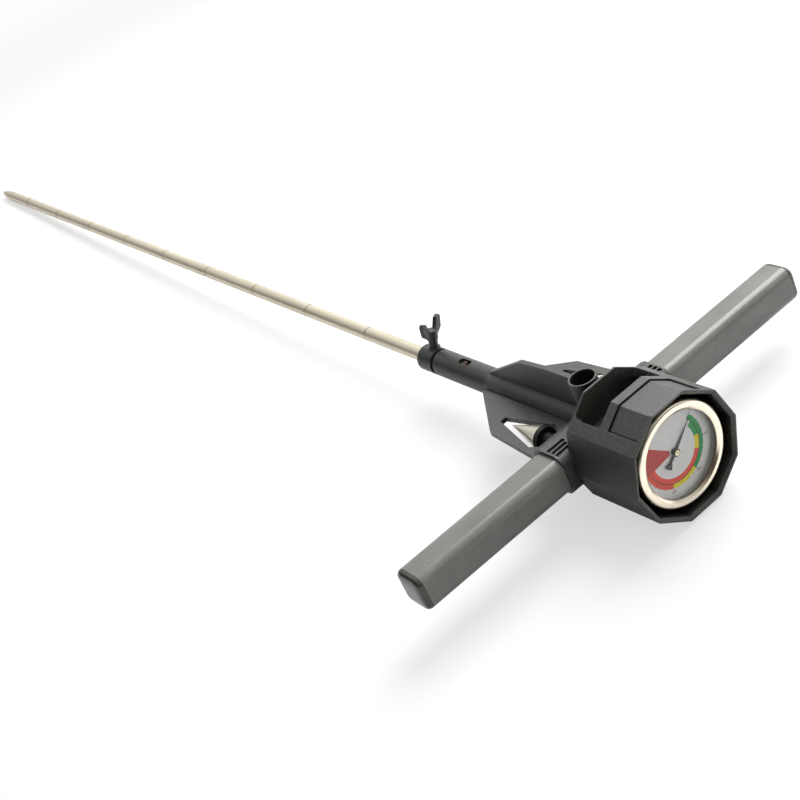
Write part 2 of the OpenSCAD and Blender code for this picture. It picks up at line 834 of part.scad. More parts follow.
// Toothed sector: at rest its first teeth are at the pinion, the rest follow as it turns
module sector_gear() {
    pitch = 360 / sector_teeth;
    count = ceil(sector_sweep / pitch) + 4;
    root_r = sector_pitch_r - tooth_in_share * tooth_module;
    first = 180 + 2 * pitch;
    middle = first - count * pitch / 2;
    last = first - count * pitch;
    placed() color(brass) difference() {
        slab_x(gear_rear, gear_rear + gear_t) translate([pivot_drop, 0]) {
            circle(pivot_hub_r);
            intersection() {
                circle(root_r);
                polygon(concat([[0, 0]], [for (a = [first, middle, last]) 2 * root_r * [cos(a), sin(a)]]));
            }
            for (k = [0 : count - 1]) rotate(first - (k + 0.5) * pitch) gear_tooth(sector_pitch_r);
        }
        translate([0, 0, -pivot_drop])
            rod_x(shaft_r + pin_fit, gear_rear - overrun, gear_rear + gear_t + overrun);
    }
}

module pointer_shaft() {
    placed() color(steel) {
        rod_x(shaft_r, block_front + face_gap, needle_rear);
        slab_x(gear_rear - run_fit, gear_rear + gear_t + run_fit) {
            circle(pinion_pitch_r - tooth_in_share * tooth_module);
            for (k = [0 : pinion_teeth - 1]) rotate(k * 360 / pinion_teeth) gear_tooth(pinion_pitch_r);
        }
    }
}

module needle() {
    blade = needle_hub_r * 0.36;
    tail = needle_hub_r * 0.55;
    placed() color("#2b2b29") {
        slab_x(needle_rear, needle_rear + needle_t) rotate(-needle_rest) polygon([
            [-needle_len, 0],
            [0, blade],
            [needle_tail * 0.6, tail / 2],
            [needle_tail * 0.94, tail * 1.9],
            [needle_tail, tail],
            [needle_tail, -tail],
            [needle_tail * 0.94, -tail * 1.9],
            [needle_tail * 0.6, -tail / 2],
            [0, -blade]
        ]);
        rod_x(needle_hub_r, needle_rear, hub_front);
    }
}

module needle_screw() {
    placed() color(brass) rod_x(hub_screw_r, hub_front, hub_front + needle_t);
}

module pressure_cell() {
    placed() color(bright_steel) difference() {
        rod_x(cell_r, -cell_reach, bore_half);
        rod_x(cylinder_r, -cell_reach - overrun, cylinder_end);
        rod_x(passage_r, cylinder_end - overrun, bore_half);
        rod_x(stem_r + pin_fit, thread_end, bore_half + overrun);
        translate([-port_x, 0, 0]) cylinder(r = plug_r + pin_fit, h = 2 * cell_r);
        translate([-port_x, 0, plug_seat_z]) cylinder(r = port_r, h = cell_r);
    }
}

module gland_nut() {
    placed() color(brass) difference() {
        rod_x(cell_r, -cell_reach - gland_t, -cell_reach);
        rod_x(piston_spigot_r + run_fit, -cell_reach - gland_t - overrun, overrun - cell_reach);
    }
}

module piston() {
    groove_rear = (piston_front + piston_rear - seal_w) / 2;
    placed() color(bright_steel) turned([
        [piston_spigot_r + pin_fit, piston_rear],
        [piston_r, piston_rear],
        [piston_r, groove_rear],
        [seal_root_r, groove_rear],
        [seal_root_r, groove_rear + seal_w],
        [piston_r, groove_rear + seal_w],
        [piston_r, piston_front],
        [0, piston_front],
        [0, piston_rear + piston_len / 2],
        [piston_spigot_r + pin_fit, piston_rear + piston_len / 2]
    ]);
}

module piston_seal() {
    groove_rear = (piston_front + piston_rear - seal_w) / 2;
    placed() color(rubber) difference() {
        rod_x(piston_r, groove_rear + pin_fit, groove_rear + seal_w - pin_fit);
        rod_x(seal_root_r + pin_fit, groove_rear - overrun, groove_rear + seal_w + overrun);
    }
}

// Directions of the wing screw, which stands in the collar toward its front
module at_wing_screw() {
    translate([collar_rear + collar_len * 0.65, 0, 0]) rotate([-wing_lean, 0, 0]) children();
}

module plunger() {
    placed() color(dark_plastic) difference() {
        union() {
            rod_x(tube_r, collar_rear, collar_front);
            rod_x(plunger_r, collar_rear, plunger_front);
            rod_x(piston_spigot_r, plunger_front - overrun, piston_rear + piston_len / 2 - face_gap);
            at_wing_screw() cylinder(r = wing_hub_r, h = wing_seat_z);
        }
        rod_x(socket_r, collar_rear - overrun, socket_end);
        at_wing_screw() cylinder(r = wing_shank_r + pin_fit, h = 2 * tube_r);
        translate([guide_x, 0, plunger_r - guide_depth]) cylinder(r = guide_shank_r + pin_fit, h = tube_r);
    }
}

module wing_screw() {
    hub_z = tube_r + wing_rise * 0.3;
    hub_h = wing_rise * 0.33;
    root_h = wing_rise * 0.26;
    collar_z = wing_seat_z + face_gap;
    wing_z = tube_r + wing_rise;
    placed() color("#262625") at_wing_screw() rotate(wing_turn) {
        translate([0, 0, rod_r + face_gap]) cylinder(r = wing_shank_r, h = hub_z - rod_r);
        translate([0, 0, collar_z]) cylinder(r = wing_shank_r * 1.2, h = hub_z - collar_z);
        translate([0, 0, hub_z]) cylinder(r1 = wing_hub_r * 0.88, r2 = wing_hub_r, h = hub_h);
        both_sides() rotate([90, 0, 90]) linear_extrude(wing_plate_t, center = true) polygon([
            [0, hub_z + root_h * 0.1],
            [wing_hub_r, hub_z + root_h * 0.2],
            [wing_span * 0.9, hub_z + root_h],
            [wing_span, wing_z - root_h * 0.3],
            [wing_span * 0.86, wing_z],
            [wing_span * 0.58, wing_z - root_h * 0.2],
            [wing_hub_r * 0.7, hub_z + root_h],
            [0, hub_z + root_h]
        ]);
    }
}

module guide_tube() {
    slot_r = slot_w / 2;
    slot_half = slot_len / 2 - slot_r;
    placed() color(dark_plastic) difference() {
        union() {
            rod_x(tube_r, -tube_reach, -shell_reach);
            rod_x(spigot_r, -shell_reach - overrun, spigot_len - shell_reach);
        }
        rod_x(tube_bore_r, -tube_reach - overrun, spigot_len - shell_reach + overrun);
        translate([-slot_mid, 0, 0]) {
            for (s = [-1, 1]) translate([s * slot_half, 0, 0]) cylinder(r = slot_r, h = 2 * tube_r);
            translate([-slot_half, -slot_r, 0]) cube([2 * slot_half, slot_w, 2 * tube_r]);
        }
    }
}

module guide_screw() {
    placed() color(steel) translate([guide_x, 0, plunger_r - guide_depth]) difference() {
        union() {
            cylinder(r = guide_shank_r, h = guide_depth + run_fit);
            translate([0, 0, guide_depth]) cylinder(r = guide_head_r, h = guide_head_h);
        }
        translate([-guide_head_r, -guide_shank_r / 4, guide_depth + guide_head_h * 0.7])
            cube([2 * guide_head_r, guide_shank_r / 2, guide_head_h]);
    }
}

module probe_rod() {
    rod_front = point_len - rod_reach;
    marks = [for (k = [0 : mark_count - 1]) -mark_first - k * mark_pitch];
    placed() color(steel) difference() {
        rod_x(rod_r, rod_front, rod_rear);
        for (x = marks) if (x > rod_front + point_stud_len) difference() {
            rod_x(2 * rod_r, x - mark_w / 2, x + mark_w / 2);
            rod_x(rod_r - mark_depth, x - mark_w, x + mark_w);
        }
        rod_x(point_stud_r + pin_fit, rod_front - overrun, rod_front + point_stud_len + face_gap);
    }
}

module rod_point() {
    rod_front = point_len - rod_reach;
    nose = [for (p = point_shares) [p[0] * rod_r, p[1] * point_len - rod_reach]];
    placed() color(bright_steel) turned(concat([[0, -rod_reach]], nose, [
        [rod_r, rod_front],
        [point_stud_r, rod_front],
        [point_stud_r, rod_front + point_stud_len],
        [0, rod_front + point_stud_len]
    ]));
}

// Post that stands in the ramp and carries a spare cone on its stud
module cone_post() {
    flange_r = cone_r - post_flange_t * 0.1;
    translate([0, bay_y, 0]) {
        rod_x(post_r, -cone_base_x + face_gap, -bay_end_x);
        rod_x(post_foot_r, -bay_end_x - overrun, -post_foot_end - face_gap);
        rod_x(flange_r, -cone_base_x + face_gap, -cone_base_x + post_flange_t);
        rod_x(stud_r, -cone_base_x - stud_len, -cone_base_x + post_flange_t);
    }
}

module cone_post_left() {
    placed() color(rubber) mirror([0, 1, 0]) cone_post();
}

module cone_post_right() {
    placed() color(rubber) cone_post();
}

// Spare cone with a blind hole for the stud
module spare_cone() {
    hole = stud_len + face_gap;
    translate([0, bay_y, 0]) turned([
        [0, -cone_base_x - cone_len],
        [cone_r, -cone_base_x],
        [stud_r + pin_fit, -cone_base_x],
        [stud_r + pin_fit, -cone_base_x - hole],
        [0, -cone_base_x - hole]
    ]);
}

module spare_cone_left() {
    placed() color(bright_steel) mirror([0, 1, 0]) spare_cone();
}

module spare_cone_right() {
    placed() color(bright_steel) spare_cone();
}

body_upper_shell();
body_lower_shell();
fill_port();
fill_plug();
body_screws();
handle_bar_left();
handle_bar_right();
end_cap_left();
end_cap_right();
handle_screws();
gauge_cup();
badge_plate();
gauge_case();
gauge_bezel();
lens_gasket();
gauge_lens();
dial_plate();
gauge_stem();
bourdon_tube();
movement_frame();
sector_gear();
pointer_shaft();
needle();
needle_screw();
pressure_cell();
gland_nut();
piston();
piston_seal();
plunger();
guide_tube();
guide_screw();
wing_screw();
probe_rod();
rod_point();
cone_post_left();
cone_post_right();
spare_cone_left();
spare_cone_right();
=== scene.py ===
import bmesh
import bpy
import json
import math
from mathutils import Matrix, Vector


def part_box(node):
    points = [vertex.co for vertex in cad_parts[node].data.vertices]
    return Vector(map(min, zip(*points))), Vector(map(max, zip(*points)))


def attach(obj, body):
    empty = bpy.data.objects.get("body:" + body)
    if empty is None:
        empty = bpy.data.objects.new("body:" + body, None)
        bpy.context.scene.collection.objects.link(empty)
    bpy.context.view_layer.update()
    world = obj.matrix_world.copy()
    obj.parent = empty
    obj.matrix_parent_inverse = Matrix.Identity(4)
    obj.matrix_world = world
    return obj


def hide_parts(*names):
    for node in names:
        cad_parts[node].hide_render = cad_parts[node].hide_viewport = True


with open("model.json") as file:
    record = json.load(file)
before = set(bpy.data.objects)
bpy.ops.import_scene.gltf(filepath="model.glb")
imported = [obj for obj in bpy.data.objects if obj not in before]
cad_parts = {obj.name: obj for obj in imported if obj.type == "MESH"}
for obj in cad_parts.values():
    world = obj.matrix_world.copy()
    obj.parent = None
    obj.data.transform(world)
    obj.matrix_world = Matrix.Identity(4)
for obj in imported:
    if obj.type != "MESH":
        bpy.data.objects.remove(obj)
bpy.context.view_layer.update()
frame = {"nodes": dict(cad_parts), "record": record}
nodes = frame["nodes"]
mm = 0.001
print("stage: frame loaded")


# Linear colour of a hex code, by the sRGB curve
def toLinear(code):
    parts = [int(code[k:k + 2], 16) / 255 for k in (1, 3, 5)]
    return [c / 12.92 if c <= 0.04045 else ((c + 0.055) / 1.055) ** 2.4 for c in parts] + [1]


def addNode(tree, kind, settings, links=None):
    node = tree.nodes.new("ShaderNode" + kind)
    for key, value in settings.items():
        if isinstance(key, str) and hasattr(node, key):
            setattr(node, key, value)
        else:
            node.inputs[key].default_value = value
    for key, socket in (links or {}).items():
        tree.links.new(socket, node.inputs[key])
    return node


# Places of the colour sockets on a Mix node
firstColour = 6
secondColour = 7
mixedColour = 2

# What all finishes share: how the noise breaks up, and where patches, specks, the edge tint (wear with a
# painted highlight) and the painted recess shade set in
blending = {
    "patchDetail": 4, "patchBreak": 0.6, "patchFrom": 0.3, "patchTo": 0.7,
    "grainDetail": 2, "grainBreak": 0.5, "speckFade": 0.05,
    "edgeLightSamples": 4, "edgeLightFrom": 0.97, "edgeLightTo": 0.75,
    "paintedShadeSamples": 6, "paintedShadeFrom": 0.3, "paintedShadeTo": 0.85,
}


# One finish: colour patches, uneven gloss and a fine relief, all sized in millimetres
def makeFinish(name, look):
    material = bpy.data.materials.new(name)
    material.use_nodes = True
    tree = material.node_tree
    tree.nodes.clear()
    place = addNode(tree, "TexCoord", {})
    stretch = addNode(tree, "Mapping", {"Scale": look.get("stretch", (1, 1, 1))},
                      {"Vector": place.outputs["Object"]})
    patches = addNode(tree, "TexNoise",
                      {"Scale": 1 / (look["patchMm"] * mm), "Detail": blending["patchDetail"],
                       "Roughness": blending["patchBreak"]},
                      {"Vector": stretch.outputs["Vector"]})
    grain = addNode(tree, "TexNoise",
                    {"Scale": 1 / (look["grainMm"] * mm), "Detail": blending["grainDetail"],
                     "Roughness": blending["grainBreak"]},
                    {"Vector": stretch.outputs["Vector"]})
    spread = addNode(tree, "MapRange", {"From Min": blending["patchFrom"], "From Max": blending["patchTo"]},
                     {"Value": patches.outputs["Fac"]})
    tint = addNode(tree, "Mix",
                   {"data_type": "RGBA", firstColour: toLinear(look["colour"]),
                    secondColour: toLinear(look["second"])},
                   {0: spread.outputs["Result"]})
    colour = tint.outputs[mixedColour]
    if "speck" in look:
        dots = addNode(tree, "MapRange",
                       {"From Min": look["speckFrom"], "From Max": look["speckFrom"] + blending["speckFade"]},
                       {"Value": grain.outputs["Fac"]})
        speckled = addNode(tree, "Mix", {"data_type": "RGBA", secondColour: toLinear(look["speck"])},
                           {0: dots.outputs["Result"], firstColour: colour})
        colour = speckled.outputs[mixedColour]
    # Edge tint, partly wear and partly painted light: paler edges are a painted highlight on the mouldings,
    # darker edges a painted dark reflection on the bezel
    if "edgeWearAndPaintedLight" in look:
        soft = addNode(tree, "Bevel", {"samples": blending["edgeLightSamples"], "Radius": look["edgeWearAndPaintedLightMm"] * mm})
        flat = addNode(tree, "NewGeometry", {})
        along = addNode(tree, "VectorMath", {"operation": "DOT_PRODUCT"},
                        {0: soft.outputs["Normal"], 1: flat.outputs["Normal"]})
        edge = addNode(tree, "MapRange", {"From Min": blending["edgeLightFrom"], "From Max": blending["edgeLightTo"]},
                       {"Value": along.outputs["Value"]})
        wornAndLitEdge = addNode(tree, "Mix", {"data_type": "RGBA", secondColour: toLinear(look["edgeWearAndPaintedLight"])},
                       {0: edge.outputs["Result"], firstColour: colour})
        colour = wornAndLitEdge.outputs[mixedColour]
    # Painted shade: the colour darkens toward the given black where ambient occlusion finds a recess
    if "paintedRecessShade" in look:
        shadeOcclusion = addNode(tree, "AmbientOcclusion",
                          {"samples": blending["paintedShadeSamples"], "Distance": look["paintedRecessShadeMm"] * mm})
        shadeDepth = addNode(tree, "MapRange",
                        {"From Min": blending["paintedShadeFrom"], "From Max": blending["paintedShadeTo"]},
                        {"Value": shadeOcclusion.outputs["AO"]})
        shadedColour = addNode(tree, "Mix", {"data_type": "RGBA", firstColour: toLinear(look["paintedRecessShade"])},
                       {0: shadeDepth.outputs["Result"], secondColour: colour})
        colour = shadedColour.outputs[mixedColour]
    gloss = addNode(tree, "MapRange", {"To Min": look["rough"][0], "To Max": look["rough"][1]},
                    {"Value": patches.outputs["Fac"]})
    relief = addNode(tree, "Bump", {"Strength": look["reliefShare"], "Distance": look["reliefMm"] * mm},
                     {"Height": grain.outputs["Fac"]})
    shader = addNode(tree, "BsdfPrincipled", look.get("shader", {}),
                     {"Base Color": colour, "Roughness": gloss.outputs["Result"],
                      "Normal": relief.outputs["Normal"]})
    addNode(tree, "OutputMaterial", {}, {"Surface": shader.outputs["BSDF"]})
    return material


metal = {"Metallic": 1.0}
inkFilm = {"grainMm": 0.25, "rough": (0.45, 0.6), "reliefMm": 0.004, "reliefShare": 0.3}
finishes = {
    # grained black moulding: tiny lit dots, paler edges that are partly wear and partly a painted highlight,
    # and painted shade that keeps the recesses deep black
    # its real grit, about 0.3 mm, is too fine to show, so it is drawn coarser
    "grainedBlackPlastic": {
        "colour": "#282826", "second": "#32322f", "patchMm": 14, "grainMm": 0.75,
        "speck": "#55554f", "speckFrom": 0.6, "edgeWearAndPaintedLight": "#5a5a55", "edgeWearAndPaintedLightMm": 0.45,
        "paintedRecessShade": "#080807", "paintedRecessShadeMm": 30,
        "rough": (0.4, 0.55), "reliefMm": 0.3, "reliefShare": 0.8, "shader": {"Specular IOR Level": 0.75}},
    # smooth dark moulding: quieter than the body, with a soft gloss along the tube
    "smoothDarkPlastic": {
        "colour": "#2e2e2c", "second": "#383835", "patchMm": 20, "grainMm": 0.9,
        # paler edges: partly wear, partly a painted highlight
        "edgeWearAndPaintedLight": "#4c4c48", "edgeWearAndPaintedLightMm": 0.5,
        "rough": (0.36, 0.48), "reliefMm": 0.03, "reliefShare": 0.4, "shader": {"Specular IOR Level": 0.4}},
    # polished dark moulding of the caps: a broad gleam on the low dome
    "capDarkPlastic": {
        "colour": "#40413a", "second": "#4a4b43", "patchMm": 8, "grainMm": 0.7,
        "rough": (0.14, 0.24), "reliefMm": 0.04, "reliefShare": 0.4},
    # black moulding of the clamp screw: darker than its neighbours, with small gleams
    "knobBlackPlastic": {
        "colour": "#1f1f1e", "second": "#2b2b29", "patchMm": 4, "grainMm": 0.6,
        # paler edges: partly wear, partly a painted highlight
        "edgeWearAndPaintedLight": "#4a4a46", "edgeWearAndPaintedLightMm": 0.5,
        "rough": (0.32, 0.46), "reliefMm": 0.08, "reliefShare": 0.5},
    # satin grey coat on the handle: cloudy smudges and a few pale specks
    "satinGreyCoat": {
        "colour": "#6a6b67", "second": "#7c7d78", "patchMm": 16, "grainMm": 0.9, "stretch": (1, 0.5, 1),
        "speck": "#a3a49d", "speckFrom": 0.71,
        "rough": (0.2, 0.3), "reliefMm": 0.03, "reliefShare": 0.3},
    # drawn stainless of the rod: warm steel with fine lines along its length
    "drawnStainless": {
        "colour": "#c0b8a3", "second": "#cec6b3", "patchMm": 6, "grainMm": 0.5, "stretch": (0.04, 1, 1),
        "rough": (0.36, 0.48), "reliefMm": 0.004, "reliefShare": 0.4, "shader": metal},
    # turned bright steel: soft rings across the axis, cooler than the rod
    "turnedSteel": {
        "colour": "#d9d4c4", "second": "#e4dfd0", "patchMm": 4, "grainMm": 0.5, "stretch": (1, 0.05, 0.05),
        "rough": (0.28, 0.4), "reliefMm": 0.002, "reliefShare": 0.3, "shader": metal},
    # warm polished bezel: cream metal, faintly uneven round the ring, with edges darkened as a painted dark
    # reflection
    "warmBezelSteel": {
        "colour": "#f6e8cf", "second": "#fbf2e0", "patchMm": 5, "grainMm": 1.2,
        "edgeWearAndPaintedLight": "#5e503a", "edgeWearAndPaintedLightMm": 0.8,
        "rough": (0.16, 0.28), "reliefMm": 0.02, "reliefShare": 0.4, "shader": metal},
    # satin case wall behind the glass: a grey band beside the dial
    "satinCaseSteel": {
        "colour": "#b4b4b0", "second": "#c0c0bb", "patchMm": 6, "grainMm": 0.4,
        "rough": (0.45, 0.6), "reliefMm": 0.01, "reliefShare": 0.3, "shader": metal},
    # zinc plated screws: bright with a slight mottle
    "zincSteel": {
        "colour": "#b9b3a6", "second": "#cfc9bb", "patchMm": 1.5, "grainMm": 0.3,
        "rough": (0.26, 0.4), "reliefMm": 0.01, "reliefShare": 0.3, "shader": metal},
    # blackened guide screw: nearly lost in its slot, with a brown sheen
    "blackenedSteel": {
        "colour": "#4a3f3c", "second": "#5c4e49", "patchMm": 1.5, "grainMm": 0.3,
        "rough": (0.3, 0.42), "reliefMm": 0.01, "reliefShare": 0.3, "shader": metal},
    # machined brass of the movement and the stem: a yellow satin sheen
    "machinedBrass": {
        "colour": "#b3915a", "second": "#c7a468", "patchMm": 3, "grainMm": 0.3,
        "rough": (0.26, 0.4), "reliefMm": 0.01, "reliefShare": 0.3, "shader": metal},
    # pale brass of the pointer's screw: a light warm spot at the middle of the dial
    "paleBrass": {
        "colour": "#e6d8b2", "second": "#efe5c8", "patchMm": 1, "grainMm": 0.3,
        "rough": (0.25, 0.35), "reliefMm": 0.005, "reliefShare": 0.3, "shader": metal},
    # black rubber: dull and slightly dusty
    "dullRubber": {
        "colour": "#0e0e0d", "second": "#161614", "patchMm": 4, "grainMm": 0.5,
        "rough": (0.45, 0.6), "reliefMm": 0.03, "reliefShare": 0.4, "shader": {"Specular IOR Level": 0.3}},
    # grey rubber ring under the glass: a soft line round the dial
    "greyGasketRubber": {
        "colour": "#7c7c76", "second": "#88887f", "patchMm": 4, "grainMm": 0.5,
        "rough": (0.5, 0.62), "reliefMm": 0.02, "reliefShare": 0.3},
    # light grey dial paint: an even pale ground with a fine tooth
    "dialGreyPaint": {
        "colour": "#eaeae8", "second": "#f2f2f0", "patchMm": 7, "grainMm": 0.25,
        "rough": (0.5, 0.62), "reliefMm": 0.006, "reliefShare": 0.3},
    # printed inks of the dial: flat, slightly uneven films
    "greenInk": {**inkFilm, "colour": "#2f9450", "second": "#3aa25a", "patchMm": 2.5},
    "yellowInk": {**inkFilm, "colour": "#ead81f", "second": "#f2e230", "patchMm": 2.5},
    "redInk": {**inkFilm, "colour": "#e8503f", "second": "#f05c4a", "patchMm": 2.5},
    "deepRedInk": {**inkFilm, "colour": "#b83c38", "second": "#c64944", "patchMm": 2},
    # dark ink of the scale, also used for the painted shade disc on the pointer's screw
    "darkInkAndPaintedShade": {**inkFilm, "colour": "#343432", "second": "#40403d", "patchMm": 2, "rough": (0.5, 0.65)},
    # matt black coat of the pointer: a dark line with no gleam
    "pointerBlackCoat": {
        "colour": "#2c2c2a", "second": "#363633", "patchMm": 3, "grainMm": 0.3,
        "rough": (0.45, 0.6), "reliefMm": 0.006, "reliefShare": 0.3},
    # clear lens: almost nothing but a light gleam
    "clearLens": {
        "colour": "#f4f6f6", "second": "#ffffff", "patchMm": 20, "grainMm": 3,
        "rough": (0.03, 0.06), "reliefMm": 0.001, "reliefShare": 0.1, "shader": {"Alpha": 0.03}},
}
made = {name: makeFinish(name, look) for name, look in finishes.items()}
print("stage: finishes made")

wearsFinish = {
    "grainedBlackPlastic": ["body_upper_shell", "body_lower_shell", "fill_port", "gauge_cup", "badge_plate"],
    "smoothDarkPlastic": ["guide_tube", "plunger"],
    "capDarkPlastic": ["end_cap_left", "end_cap_right"],
    "knobBlackPlastic": ["wing_screw"],
    "satinGreyCoat": ["handle_bar_left", "handle_bar_right"],
    "drawnStainless": ["probe_rod", "rod_point"],
    "turnedSteel": ["spare_cone_left", "spare_cone_right", "pressure_cell", "piston"],
    "warmBezelSteel": ["gauge_bezel"],
    "satinCaseSteel": ["gauge_case"],
    "zincSteel": ["fill_plug", "body_screws", "handle_screws", "pointer_shaft"],
    "blackenedSteel": ["guide_screw"],
    "machinedBrass": ["gauge_stem", "bourdon_tube", "movement_frame", "sector_gear", "gland_nut"],
    "paleBrass": ["needle_screw"],
    "dullRubber": ["piston_seal", "cone_post_left", "cone_post_right"],
    "greyGasketRubber": ["lens_gasket"],
    "dialGreyPaint": ["dial_plate"],
    "pointerBlackCoat": ["needle"],
    "clearLens": ["gauge_lens"],
}
finishOf = {node: made[name] for name, group in wearsFinish.items() for node in group}
for node, material in finishOf.items():
    for holder in nodes[node].material_slots:
        holder.material = material
bodyOf = {node: body for body, group in frame["record"]["behaviour"]["bodies"].items() for node in group}
print("stage: finishes given")


def addPiece(name, mesh, material, body):
    piece = bpy.data.objects.new(name, mesh)
    bpy.context.scene.collection.objects.link(piece)
    mesh.materials.clear()
    mesh.materials.append(material)
    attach(piece, body)
    return piece


# Softened copies of the moulded pieces: flat faces joined, outer edges rounded, curves shaded smooth
softened = {
    "cupShell": {"node": "gauge_cup", "widthMm": 0.7, "crispBadge": True},
    "upperShell": {"node": "body_upper_shell", "widthMm": 0.5},
    "lowerShell": {"node": "body_lower_shell", "widthMm": 0.5},
    "portCollar": {"node": "fill_port", "widthMm": 0.35},
    "badgePanel": {"node": "badge_plate", "widthMm": 0.2},
    "capLeft": {"node": "end_cap_left", "widthMm": 0.3},
    "capRight": {"node": "end_cap_right", "widthMm": 0.3},
    "clampWings": {"node": "wing_screw", "widthMm": 0.6},
    "tubeSleeve": {"node": "guide_tube", "widthMm": 0.4},
    "plungerCollar": {"node": "plunger", "widthMm": 0.5},
}
rounding = {"joinMm": 0.005, "segments": 3, "profile": 0.5}
joinAngle = math.radians(1)
roundAngle = math.radians(28)
smoothAngle = math.radians(33)
seam = {"place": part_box("body_upper_shell")[0].x, "reach": 8.6 * mm, "slack": 0.05 * mm}
rodMiddle = sum(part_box("probe_rod"), Vector()) / 2
badgeLow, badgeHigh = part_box("badge_plate")
badgeRoom = 1.1 * mm


# The joint of tube and neck is flush, so its edges stay unrounded
def onSeam(spot):
    aside = math.hypot(spot.y - rodMiddle.y, spot.z - rodMiddle.z)
    return abs(spot.x - seam["place"]) < seam["slack"] and aside < seam["reach"]


# The recess of the badge keeps its crisp border
def inBadge(spot):
    sides = zip(badgeLow, spot, badgeHigh)
    return all(low - badgeRoom < value < high + badgeRoom for low, value, high in sides)


def isRounded(edge, plan):
    if len(edge.link_faces) != 2 or not edge.is_convex or edge.calc_face_angle(0) <= roundAngle:
        return False
    ends = [corner.co for corner in edge.verts]
    crisp = plan.get("crispBadge") and all(inBadge(spot) for spot in ends)
    return not crisp and not all(onSeam(spot) for spot in ends)


# Corner normals weighted by face size, so that flat facets stay flat beside their rounded edges
def setNormals(mesh):
    around = {}
    for face in mesh.polygons:
        for corner in face.vertices:
            around.setdefault(corner, []).append((face.normal.copy(), face.area))
    normals = []
    for face in mesh.polygons:
        for corner in face.vertices:
            near = [n * area for n, area in around[corner] if n.angle(face.normal, 0) < smoothAngle]
            normals.append(sum(near, Vector()).normalized())
    mesh.normals_split_custom_set(normals)


def softenedMesh(name, plan):
    work = bmesh.new()
    work.from_mesh(nodes[plan["node"]].data)
    bmesh.ops.remove_doubles(work, verts=work.verts, dist=rounding["joinMm"] * mm)
    bmesh.ops.dissolve_limit(work, angle_limit=joinAngle, verts=work.verts, edges=work.edges)
    sharp = [edge for edge in work.edges if isRounded(edge, plan)]
    bmesh.ops.bevel(work, geom=sharp, offset=plan["widthMm"] * mm, segments=rounding["segments"],
                    profile=rounding["profile"], affect="EDGES", clamp_overlap=True)
    bmesh.ops.recalc_face_normals(work, faces=work.faces)
    for face in work.faces:
        face.smooth = True
    mesh = bpy.data.meshes.new(name)
    work.to_mesh(mesh)
    work.free()
    mesh.set_sharp_from_angle(angle=smoothAngle)
    setNormals(mesh)
    return mesh


for name, plan in softened.items():
    mesh = softenedMesh(name, plan)
    piece = addPiece(name, mesh, finishOf[plan["node"]], bodyOf[plan["node"]])
    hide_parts(plan["node"])
print("stage: edges softened")

# Dial print: angles run clockwise from straight up, radii and heights are in millimetres
dialLow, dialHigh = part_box("dial_plate")
dialMiddle = Vector((dialHigh.x, (dialLow.y + dialHigh.y) / 2, (dialLow.z + dialHigh.z) / 2))
printing = {"foot": 0.01, "stepDegrees": 3, "fewestSteps": 2}


def dialPoint(radius, angle, height):
    turn = math.radians(angle)
    return dialMiddle + Vector((height, radius * math.sin(turn), radius * math.cos(turn))) * mm


# A closed arc of ink with a square section
def addBand(name, band, ink, body="chassis"):
    inner, outer = band["inner"], band["outer"]
    foot, top = band.get("foot", printing["foot"]), band["height"]
    section = [(inner, foot), (outer, foot), (outer, top), (inner, top)]
    sweep = band["to"] - band["from"]
    count = max(printing["fewestSteps"], math.ceil(sweep / printing["stepDegrees"]))
    work = bmesh.new()
    rows = []
    for k in range(count + 1):
        angle = band["from"] + sweep * k / count
        rows.append([work.verts.new(dialPoint(radius, angle, height)) for radius, height in section])
    for low, high in zip(rows, rows[1:]):
        for k in range(len(section)):
            work.faces.new((low[k], low[k - 1], high[k - 1], high[k]))
    work.faces.new(rows[0])
    work.faces.new(rows[-1][::-1])
    bmesh.ops.recalc_face_normals(work, faces=work.faces)
    mesh = bpy.data.meshes.new(name)
    work.to_mesh(mesh)
    work.free()
    addPiece(name, mesh, made[ink], body)


outerRing = {"inner": 17.75, "outer": 20.2, "height": 0.05}
innerRing = {"inner": 14.5, "outer": 17.35, "height": 0.05}
wedge = {"inner": 2.8, "outer": 20.2, "height": 0.05}
line = {"inner": 17.35, "outer": 17.75, "height": 0.04}
bands = {
    "outerGreen": (outerRing, 52, 153, "greenInk"),
    "outerYellow": (outerRing, 153, 203, "yellowInk"),
    "outerRed": (outerRing, 203, 264, "redInk"),
    "innerGreen": (innerRing, 62, 94, "greenInk"),
    "innerYellow": (innerRing, 94, 121, "yellowInk"),
    "innerRed": (innerRing, 121, 264, "redInk"),
    "warningWedge": (wedge, 264, 311, "deepRedInk"),
    "ringLine": (line, 52, 264, "darkInkAndPaintedShade"),
}
for name, (ring, start, end, ink) in bands.items():
    addBand(name, {**ring, "from": start, "to": end}, ink)

ticks = {"count": 26, "start": 52, "sweep": 250, "halfTurn": 0.45, "longEvery": 5,
         "inner": 20.3, "short": 20.8, "long": 21.3, "height": 0.04}
for k in range(ticks["count"]):
    middle = ticks["start"] + ticks["sweep"] * k / (ticks["count"] - 1)
    tick = {"inner": ticks["inner"], "height": ticks["height"],
            "outer": ticks["long"] if k % ticks["longEvery"] == 0 else ticks["short"],
            "from": middle - ticks["halfTurn"], "to": middle + ticks["halfTurn"]}
    addBand(f"scaleTick{k}", tick, "darkInkAndPaintedShade")

# Small dark disc on the face of the pointer's screw: painted shade in place of the shade in the screw's
# dimple
dimpleShadeDisc = {"inner": 0.12, "outer": 0.55, "from": 0, "to": 350, "foot": 0.01, "height": 0.05}
screwFace = (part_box("needle_screw")[1].x - dialHigh.x) / mm
raisedShadeDisc = {**dimpleShadeDisc, "foot": screwFace + dimpleShadeDisc["foot"], "height": screwFace + dimpleShadeDisc["height"]}
addBand("screwPaintedShade", raisedShadeDisc, "darkInkAndPaintedShade", bodyOf["needle_screw"])

